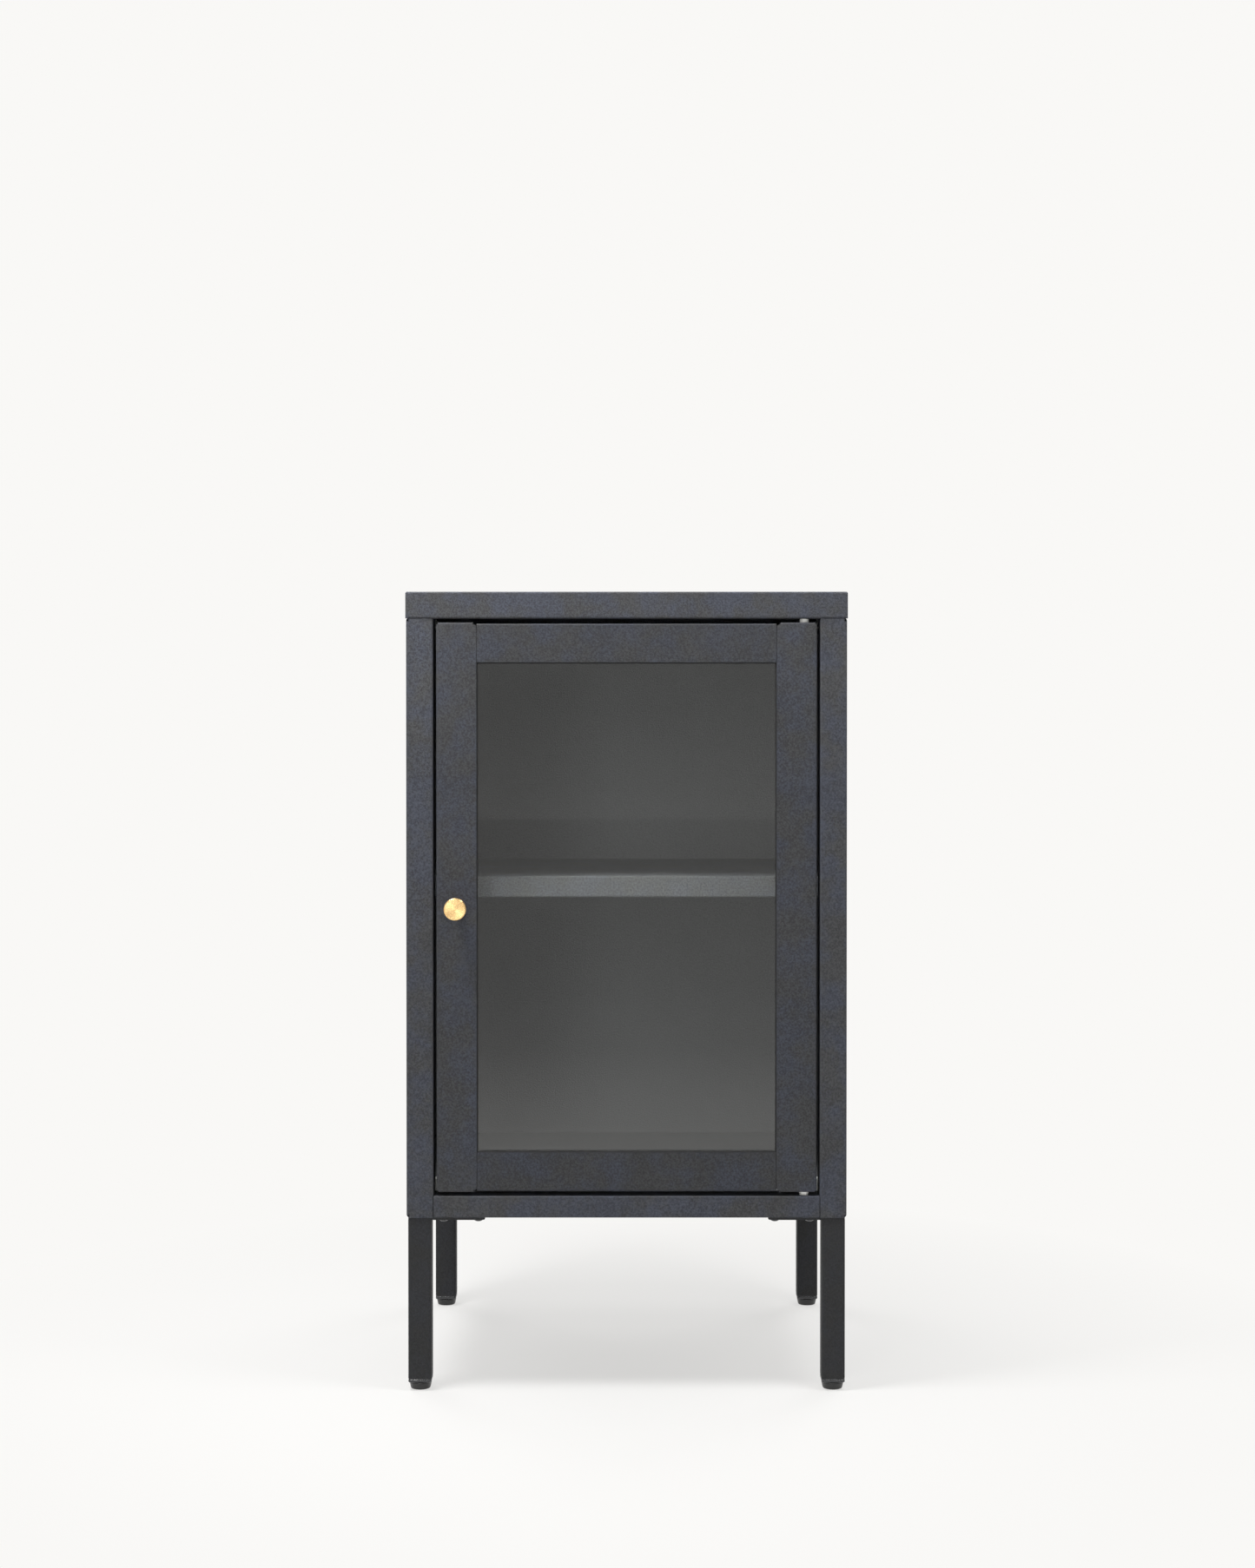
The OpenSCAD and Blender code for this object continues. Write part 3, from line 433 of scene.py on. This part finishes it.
def boxy(rows, count=48):
    """Rings about +Z in millimetres, each a rectangle with round corners, from rows of half
    width, half depth, corner radius and height. A point lies on its corner's arc, at the same
    angle as in a circle."""
    turn = (np.arange(count) + 0.5) * 2 * math.pi / count
    wide, deep, corner, height = np.array(rows, float).T[:, :, None]
    x = np.sign(np.cos(turn)) * (wide - corner) + corner * np.cos(turn)
    y = np.sign(np.sin(turn)) * (deep - corner) + corner * np.sin(turn)
    return np.stack([x, y, height + 0 * x], axis=-1)


def moulded(name, shade, rough):
    """Moulded plastic: a shade that hardly drifts, and the fine orange peel of the mould."""
    finish, place = new_finish(name)
    drift = place.grain(0.005, 3.0)
    surfaced(
        place,
        Base_Color=drift.blend(
            (*(0.88 * tone for tone in shade), 1.0), (*(1.12 * tone for tone in shade), 1.0)
        ),
        Roughness=rough + 0.14 * (place.grain(0.0015) - 0.5),
        Normal=(place.grain(0.0005) + 2.0 * drift).bump(0.00005),
    )
    return finish


plug_plastic = moulded("black_polyamide", (0.020, 0.021, 0.024), rough=0.27)
rib_widths = [8.6 + 0.25 * (row % 2) for row in range(11)]
ribs = [(half, half, 1.2, 11.5 + 1.6 * row) for row, half in enumerate(rib_widths)]
plug = boxy(
    [(9.1, 9.1, 1.6, 6.5), (9.4, 9.4, 2.0, 6.5), (9.75, 9.75, 2.0, 6.8), (10.0, 10.0, 2.0, 7.15),
     (10.0, 10.0, 2.0, 8.9), (9.85, 9.85, 1.9, 9.05), (9.1, 9.1, 1.5, 9.1),
     (9.1, 9.1, 1.5, 10.0), (8.7, 8.7, 1.2, 10.0)]
    + ribs
    + [(8.2, 8.2, 1.2, 29.6), (7.8, 7.8, 1.2, 30.0), (4.6, 4.6, 4.6, 30.0),
       (4.15, 4.15, 4.15, 29.4), (4.15, 4.15, 4.15, 7.0), (4.5, 4.5, 4.5, 6.5)]
)
piece("tube_plugs", at_solids(plug, "leg_plugs", (0, 0, 1), False), plug_plastic,
      "black_plastic", "carcass", "leg_plugs")

# ------------------------------------------------------------------ levelling feet
# A black rubber pad moulded on the end of a zinc-plated M8 stud, which screws up through the
# plug. The pad tapers to its sole, which is dished with a raised rim for grip.


def lathe(rows, steps=48):
    """Rings turned about +Z from rows of radius and height in millimetres."""
    rows = np.array(rows, float)
    return turned(rows[:, :1], rows[:, 1], steps)


rubber = moulded("black_rubber", (0.005, 0.005, 0.0055), rough=0.4)
pad = lathe(
    [(5.0, 0.7), (6.6, 0.6), (7.0, 0.05), (7.7, 0.0), (8.2, 0.1), (8.45, 0.4), (8.6, 0.9),
     (9.0, 2.6), (9.3, 4.2), (9.5, 4.5), (9.5, 5.5), (9.35, 6.1), (9.0, 6.4), (8.2, 6.5),
     (4.3, 6.5), (4.1, 6.3), (4.1, 2.5)],
    steps=64,
)
foot_rod = rod(radius=4.0, length=29.5, pitch=1.25)
for leg in legs:
    piece("pad_" + leg, at_solids(pad, "foot_pad_" + leg, (0, 0, 1)), rubber, "black_plastic",
          "foot_" + leg, "foot_pad_" + leg, sharp=40.0)
    piece("rod_" + leg, at_solids(foot_rod, "foot_stud_" + leg, (0, 0, 1)), zinc, "zinc_plated",
          "foot_" + leg, "foot_stud_" + leg)

# ------------------------------------------------------------------ door frame
# Two stiles and two rails of folded sheet, welded into one flat frame with hairline seams. Their
# coat is the case's, painted slightly darker as painted shade, and the seams are painted dark
# too.
# Painted shade: the stiles at 0.037 and the rails at 0.033 are darker copies of the case's 0.0445
# coat
shaded_stile_coat = powder_coat("powder_coat_stiles", level=0.037, **outer)
wear(shaded_stile_coat, "door_stile_left", "door_stile_right")
shaded_rail_coat = powder_coat("powder_coat_rails", level=0.033, seam=0.129, **outer)
wear(shaded_rail_coat, "door_top_rail", "door_bottom_rail")

# ------------------------------------------------------------------ glazing
# One pane of 4 mm float glass lies between a black foam gasket in front and a foam tape behind.
# Four angle strips clamp it to weld studs with small hexagon nuts.


def foam(name, shade):
    """Closed-cell foam: nearly black, matt, with open cells of 0.3 mm where it was cut."""
    finish, place = new_finish(name)
    cells = place.grain(0.0005, 3.0, 0.7)
    surfaced(
        place,
        Base_Color=cells.blend((*(0.5 * tone for tone in shade), 1.0), (*shade, 1.0)),
        Roughness=0.82 + 0.14 * cells,
        Normal=cells.bump(0.0002),
    )
    return finish


def frame_strip(node, width, swell):
    """One strip of foam round the opening, in place: its section, whose edge towards the middle
    swells out between the sheets that squeeze it, is carried round the four mitred corners of
    the CAD node's box."""
    low, high = (np.array(corner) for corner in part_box(node))
    thick = high[1] - low[1]
    side = np.linspace(0.0, 1.0, 7)
    inner_x = -width - swell * np.sin(math.pi * side)
    outward = np.concatenate([inner_x, [0.0, 0.0]])
    depth = np.concatenate([side, [1.0, 0.0]]) * thick + low[1]
    rings = []
    for sign_x, sign_z in ((1, 1), (-1, 1), (-1, -1), (1, -1)):
        x = np.where(sign_x > 0, high[0], low[0]) + sign_x * outward
        z = np.where(sign_z > 0, high[2], low[2]) + sign_z * outward
        rings.append(np.stack([x, depth, z], axis=-1))
    return skin(np.array(rings), False)


black_foam = foam("black_foam", (0.016, 0.016, 0.017))
gasket = frame_strip("glazing_gasket", width=0.0093, swell=0.0003)
piece("front_gasket", [gasket], black_foam, "black_foam", "door", "glazing_gasket")
tape = frame_strip("rear_glazing_tape", width=0.0075, swell=0.0002)
piece("rear_tape", [tape], black_foam, "black_foam", "door", "rear_glazing_tape")
# Painted light: the retainers wear the lighter copy of the coat
wear(lightened_inner_coat, *("glass_retainer_" + side for side in ("left", "right", "top", "bottom")))
clamp_rod = rod(radius=1.5, length=6.0, pitch=0.5)
piece("clamp_rods", at_solids(clamp_rod, "retainer_studs", (0, 1, 0)), zinc,
      "zinc_plated", "door", "retainer_studs")
clamp_nut = nut(bore=1.55, flats=5.5, height=2.4, pitch=0.5)
piece("clamp_nuts", at_solids(clamp_nut, "retainer_nuts", (0, 1, 0), False), zinc,
      "zinc_plated", "door", "retainer_nuts")

# The glass is clear with a faint green cast. Soft light and shadows pass straight through it, as
# through a thin sheet, and everything else sees its polish.
pane, place = new_finish("float_glass")
tint = (0.91, 0.925, 0.915, 1.0)
glass = place.add("ShaderNodeBsdfPrincipled", {}, {
    "Base Color": (0.945, 0.96, 0.95, 1.0),
    "Roughness": 0.0,
    "IOR": 1.5,
    "Transmission Weight": 1.0,
})
clear = place.add("ShaderNodeBsdfTransparent", {}, {"Color": tint})
rays = place.add("ShaderNodeLightPath", out="Is Diffuse Ray")
soft = place.add("ShaderNodeMixShader", {}, {0: rays, 1: glass, 2: clear})
rays = place.add("ShaderNodeLightPath", out="Is Shadow Ray")
lit = place.add("ShaderNodeMixShader", {}, {0: rays, 1: soft, 2: clear})
place.add("ShaderNodeOutputMaterial", {}, {"Surface": lit})
wear(pane, "door_glass")

# ------------------------------------------------------------------ knob
# Turned from brass bar and faced with a round-nosed tool, which leaves fine rings. A washer and
# a dome-head screw hold it from behind the left stile.


def arc(radius, height, bend, start, end, count):
    """Radius and height rows along a round edge of radius bend about one point of the section,
    from angle start to end in degrees."""
    turn = np.radians(np.linspace(start, end, count))
    return np.stack([radius + bend * np.cos(turn), height + bend * np.sin(turn)], axis=1)


def faced(radius, height, pitch, depth):
    """Radius and height rows across a turned face from its rim to its middle: rings one pitch
    apart, each a shallow hollow of that depth, with a faint pip left at the middle."""
    innermost, rows_per_ring = 0.12, 6
    pip_height, pip_radius = 0.05, 0.5
    across = np.arange(radius, innermost, -pitch / rows_per_ring)
    hollow = np.sin(across / pitch * math.pi) ** 2
    pip = pip_height * np.exp(-((across / pip_radius) ** 2))
    return np.stack([across, height - depth * hollow + pip], axis=1)


knob_low, knob_high = (np.array(corner) * 1000 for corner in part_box("knob"))
knob_r = (knob_high[0] - knob_low[0]) / 2
out = knob_high[1] - knob_low[1]
profile = np.vstack([
    [(2.05, 9.0), (2.05, 0.3), (2.3, 0.0), (5.8, 0.0)],
    arc(5.8, 0.2, 0.2, -90, 0, 4),
    arc(5.6, 1.2, 0.4, 0, 90, 5),
    arc(5.2, 2.4, 0.8, 270, 180, 6),
    arc(8.0, 8.4, 3.6, 180, 112, 10),
    arc(knob_r - 1.2, 13.1, 1.2, -84, 0, 9),
    arc(knob_r - 0.9, out - 1.2, 0.9, 0, 62, 7),
    [(knob_r - 0.75, out - 0.35), (knob_r - 1.05, out - 0.1), (knob_r - 1.2, out - 0.05)],
    faced(knob_r - 1.25, out - 0.05, pitch=0.5, depth=0.022),
])
brass, place = new_finish("turned_brass")
drift = place.grain(0.004, 3.0)
surfaced(
    place,
    Base_Color=drift.blend((0.70, 0.46, 0.20, 1.0), (0.78, 0.54, 0.26, 1.0)),
    Metallic=1.0,
    Roughness=0.25 + 0.05 * place.grain(0.0012, 3.0),
)
knob = lathe(profile, steps=128)
piece("turned_knob", at_solids(knob, "knob", (0, -1, 0)), brass, "brass", "door", "knob",
      sharp=50.0)
washer_profile = np.vstack([
    [(2.2, 0.1), (2.3, 0.0)], arc(4.3, 0.1, 0.1, -90, 0, 3), arc(4.1, 0.5, 0.3, 0, 90, 4),
    arc(2.4, 0.6, 0.2, 90, 180, 4),
])
washer = lathe(washer_profile)
piece("backing_washer", at_solids(washer, "knob_washer", (0, 1, 0), False), zinc, "zinc_plated",
      "door", "knob_washer")
handle_screw = screw(shank=2.0, length=11.0, head=3.6, rise=2.2, key=2.5, pitch=0.7)
piece("handle_screw", at_solids(handle_screw, "knob_screw", (0, -1, 0)), zinc, "zinc_plated",
      "door", "knob_screw")

# ------------------------------------------------------------------ pivots
# The door turns on two white nylon pins, moulded with collars that carry the gaps above and
# below it, in flanged nylon bushes snapped into the top and bottom panels.
nylon = moulded("white_nylon", (0.80, 0.80, 0.765), rough=0.34)
pin = lathe(
    [(2.1, 0.0), (2.5, 0.5), (2.5, 5.0), (3.8, 5.0), (4.0, 5.2), (4.0, 7.9), (3.8, 8.1),
     (2.5, 8.1), (2.5, 12.9), (2.1, 13.4)]
)
piece("top_pin", at_solids(pin, "upper_pivot_pin", (0, 0, 1)), nylon, "white_nylon", "door",
      "upper_pivot_pin")
domed_pin = lathe(np.vstack([
    [(2.1, 0.0), (2.5, 0.5), (2.5, 5.4)],
    arc(0.0, 8.1, 4.4, -37.8, 0, 9),
    [(2.5, 8.1), (2.5, 12.7), (2.2, 13.1)],
]), steps=64)
piece("bottom_pin", at_solids(domed_pin, "lower_pivot_pin", (0, 0, 1)), nylon, "white_nylon",
      "door", "lower_pivot_pin")
top_bush = lathe(
    [(2.7, 0.0), (3.9, 0.0), (4.0, 0.1), (4.0, 0.8), (4.6, 0.8), (4.8, 1.0), (4.8, 1.7),
     (4.5, 2.0), (2.7, 2.0), (2.55, 1.85), (2.55, 0.15)]
)
piece("top_bush", at_solids(top_bush, "upper_pivot_bush", (0, 0, 1), False), nylon,
      "white_nylon", "carcass", "upper_pivot_bush")
bottom_bush = lathe(
    [(2.7, 0.0), (4.5, 0.0), (4.8, 0.3), (4.8, 1.0), (4.6, 1.2), (4.0, 1.2), (4.0, 2.1),
     (3.8, 2.3), (2.7, 2.3), (2.55, 2.15), (2.55, 0.15)]
)
piece("bottom_bush", at_solids(bottom_bush, "lower_pivot_bush", (0, 0, 1), False), nylon,
      "white_nylon", "carcass", "lower_pivot_bush")

# ------------------------------------------------------------------ buffers
# White nylon blocks that the closed door's lower corners rest against. Each is moulded with a
# barb that snaps through the bottom panel.
block = boxy(
    [(1.6, 1.6, 1.6, 0.0), (2.6, 2.6, 2.6, 0.9), (2.6, 2.6, 2.6, 1.3), (2.0, 2.0, 2.0, 2.0),
     (2.0, 2.0, 2.0, 2.8), (7.45, 4.45, 0.8, 2.8), (7.75, 4.75, 1.0, 3.1),
     (7.75, 4.75, 1.0, 12.6), (7.69, 4.69, 1.0, 12.95), (7.5, 4.5, 0.9, 13.2),
     (7.15, 4.15, 0.8, 13.3)]
)
piece("buffer_blocks", at_solids(block, "door_buffers", (0, 0, 1)), nylon, "white_nylon",
      "carcass", "door_buffers")

# ------------------------------------------------------------------ magnetic catch
# A black moulded housing, screwed to the bottom panel through its two ears, holds a ferrite
# magnet between two steel pole plates. They pull on a steel strike riveted to the door.
wear(plug_plastic, "catch_body")
plate = boxy(
    [(11.75, 5.75, 0.4, 0.0), (12.0, 6.0, 0.5, 0.2), (12.0, 6.0, 0.5, 1.35),
     (11.85, 5.85, 0.4, 1.5)]
)
piece("pole_plates", at_solids(plate, "catch_plates", (0, 0, 1)), zinc, "zinc_plated", "carcass",
      "catch_plates")
ferrite, place = new_finish("pressed_ferrite")
crystals = place.grain(0.0007, 3.0, 0.7)
surfaced(
    place,
    Base_Color=crystals.blend((0.028, 0.028, 0.030, 1.0), (0.07, 0.07, 0.074, 1.0)),
    Roughness=0.5 + 0.25 * crystals,
    Normal=crystals.bump(0.00006),
)
magnet = boxy(
    [(11.6, 5.55, 0.3, 0.0), (12.0, 5.95, 0.4, 0.4), (12.0, 5.95, 0.4, 4.2),
     (11.6, 5.55, 0.3, 4.6)]
)
piece("bar_magnet", at_solids(magnet, "catch_magnet", (0, 0, 1)), ferrite, "ferrite", "carcass",
      "catch_magnet")
ear_screw = screw(shank=1.5, length=5.0, head=2.7, rise=1.5, key=1.5, pitch=0.5)
piece("ear_screws", at_solids(ear_screw, "catch_screws", (0, 0, -1)), zinc, "zinc_plated",
      "carcass", "catch_screws")
wear(zinc, "catch_strike")
rivet = lathe(
    [(0.8, 0.0), (1.5, 0.07), (2.1, 0.24), (2.5, 0.5), (2.6, 0.7), (1.5, 0.7), (1.5, 2.2),
     (1.35, 2.3)]
)
piece("dome_rivets", at_solids(rivet, "strike_rivets", (0, 1, 0)), zinc, "zinc_plated", "door",
      "strike_rivets")

# ------------------------------------------------------------------ floor
# White paper. To the camera and in reflections it glows, but for a matt share near the middle
# that takes the cabinet's shadow. To soft light it is plain matt paper.
white = (0.947, 0.939, 0.922, 1.0)
floor_height = -0.0005
# The matt share, full within the radius and gone a fade further out, in metres
shadow_share, shadow_radius, shadow_fade = 0.37, 0.24, 0.45


def floor_sheet(name, half):
    """A flat square of floor that reaches half metres each way."""
    x = np.array([-half, half, half, -half])
    y = np.array([-half, -half, half, half])
    points = np.column_stack([x, y, np.full(4, floor_height)])
    mesh = bpy.data.meshes.new(name)
    mesh.from_pydata(points.tolist(), [], [(0, 1, 2, 3)])
    made = bpy.data.objects.new(name, mesh)
    bpy.context.collection.objects.link(made)
    return made


paper, place = new_finish("white_floor")
far = place.add("ShaderNodeVectorMath", {"operation": "LENGTH"}, {0: place}, "Value")
dull = place.add("ShaderNodeBsdfDiffuse", {}, {"Color": (0.76, 0.755, 0.745, 1.0)})
matt = place.add("ShaderNodeBsdfDiffuse", {}, {"Color": (0.64, 0.636, 0.628, 1.0)})
gloss = place.add("ShaderNodeLightPath", out="Is Glossy Ray")
front = place.part("Y")
# Reflections see it at 0.68 beyond 3.2 m in front, and at 1.35 nearer than 1.3 m and behind
far_dim, middle_rise, near_rise = 0.32, 0.12, 0.55
far_edge, near_edge = 3.2, 2.3
dim = far_dim - middle_rise * (1.1 * (front + far_edge)).clamped()
dim = dim - near_rise * (front + near_edge).clamped()
glow = 1.0 - gloss * dim
bright = place.add("ShaderNodeEmission", {}, {"Color": white, "Strength": glow})
share = 1.0 - shadow_share * (1.0 - (far - shadow_radius) * (1 / shadow_fade)).clamped()
mixed = place.add("ShaderNodeMixShader", {}, {0: share, 1: matt, 2: bright})
sharp_rays = place.add("ShaderNodeLightPath", out="Is Camera Ray")
sharp_rays = sharp_rays + place.add("ShaderNodeLightPath", out="Is Glossy Ray")
sharp_rays = (sharp_rays + place.add("ShaderNodeLightPath", out="Is Transmission Ray")).clamped()
final = place.add("ShaderNodeMixShader", {}, {0: sharp_rays, 1: dull, 2: mixed})
place.add("ShaderNodeOutputMaterial", {}, {"Surface": final})
ground = floor_sheet("floor", 12.0)
ground.data.materials.append(paper)

# ------------------------------------------------------------------ world and lamps
# A white studio, as the camera sees it. It lights softly, dim on the camera's side and bright at
# the sides and behind, and mirrors darkest towards the camera. Eight softboxes stand in it.
world = bpy.data.worlds.new("studio")
bpy.context.scene.world = world
world.use_nodes = True
world.node_tree.nodes.clear()
sky = Flow(world.node_tree)
aim = sky.add("ShaderNodeTexCoord", out="Generated")
behind = aim.part("Y")
around = ((behind + 0.6) * 1.2).clamped()
front_light, side_light = 0.08, 0.5
ambient = sky.add("ShaderNodeBackground", {}, {
    "Color": (0.97, 0.985, 1.0, 1.0),
    "Strength": front_light + side_light * around,
})
below = (0.2 - 20.0 * aim.part("Z")).clamped()
front_gleam, low_gleam, side_gleam = 0.42, 0.25, 1.6
gleam = (front_gleam + low_gleam * below + (behind + 1.0) * side_gleam).clamped()
mirror = sky.add("ShaderNodeBackground", {}, {"Color": white, "Strength": gleam})
backdrop = sky.add("ShaderNodeBackground", {}, {"Color": white, "Strength": 1.0})
glossy = sky.add("ShaderNodeLightPath", out="Is Glossy Ray")
seen = sky.add("ShaderNodeLightPath", out="Is Camera Ray")
seen = (seen + sky.add("ShaderNodeLightPath", out="Is Transmission Ray")).clamped()
unseen = sky.add("ShaderNodeMixShader", {}, {0: glossy, 1: ambient, 2: mirror})
whole = sky.add("ShaderNodeMixShader", {}, {0: seen, 1: unseen, 2: backdrop})
sky.add("ShaderNodeOutputWorld", {}, {"Surface": whole})


def softbox(name, place, aim, size, power, colour):
    """A square area lamp at place, facing aim."""
    lamp = bpy.data.lights.new(name, "AREA")
    lamp.shape = "SQUARE"
    lamp.size = size
    lamp.energy = power
    lamp.color = colour
    made = bpy.data.objects.new(name, lamp)
    made.location = place
    turn = np.array(aim) - np.array(place)
    made.rotation_euler = (
        math.acos(-turn[2] / np.linalg.norm(turn)),
        0.0,
        math.atan2(turn[1], turn[0]) - math.pi / 2,
    )
    bpy.context.collection.objects.link(made)


plain = (1.0, 1.0, 1.0)
lamps = [
    # name, place and aim in metres, size in metres, power in watts, colour
    ("key", (-0.65, -2.9, 1.4), (0.0, -0.1, 0.5), 0.9, 10.5, (1.0, 0.995, 0.985)),
    ("fill", (0.5, -2.9, 1.4), (0.0, -0.1, 0.5), 0.9, 5.0, (0.98, 0.99, 1.0)),
    ("low_left", (-0.85, -3.0, 0.55), (0.0, -0.1, 0.42), 0.6, 9.0, plain),
    ("over_left", (-0.42, -0.32, 1.2), (-0.15, -0.15, 0.5), 0.3, 12.0, plain),
    ("over_right", (0.42, -0.32, 1.2), (0.15, -0.15, 0.5), 0.3, 5.5, plain),
    ("top", (0.0, 0.1, 2.1), (0.0, 0.0, 0.3), 1.6, 12.0, plain),
    ("rear_left", (-1.3, 1.7, 1.5), (0.0, 0.0, 0.4), 1.0, 14.0, plain),
    ("rear_right", (1.3, 1.7, 1.5), (0.0, 0.0, 0.4), 1.0, 14.0, plain),
]
for lamp in lamps:
    softbox(*lamp)

# The low one lights everything but the pane, which would mirror it as a hard white rectangle
unlit = bpy.data.collections.new("unlit_by_low_left")
unlit.objects.link(nodes["door_glass"])
unlit.collection_objects[0].light_linking.link_state = "EXCLUDE"
bpy.data.objects["low_left"].light_linking.receiver_collection = unlit

# ------------------------------------------------------------------ camera
# It stands square to the front, on the middle line and a little lower than the cabinet's top,
# and looks slightly down. Places are in metres and the tilt is in degrees.
camera_distance, camera_height, tilt = 2.204, 0.578, 0.7
view = bpy.data.cameras.new("view")
view.sensor_width = 36.0
view.lens = 54.9
view.shift_x = 0.0006
view.shift_y = -0.0223
camera = bpy.data.objects.new("view", view)
camera.location = (0.0, -camera_distance, camera_height)
camera.rotation_euler = (math.radians(90.0 - tilt), 0.0, 0.0)
bpy.context.collection.objects.link(camera)
bpy.context.scene.camera = camera
bpy.context.scene.view_settings.view_transform = "Standard"
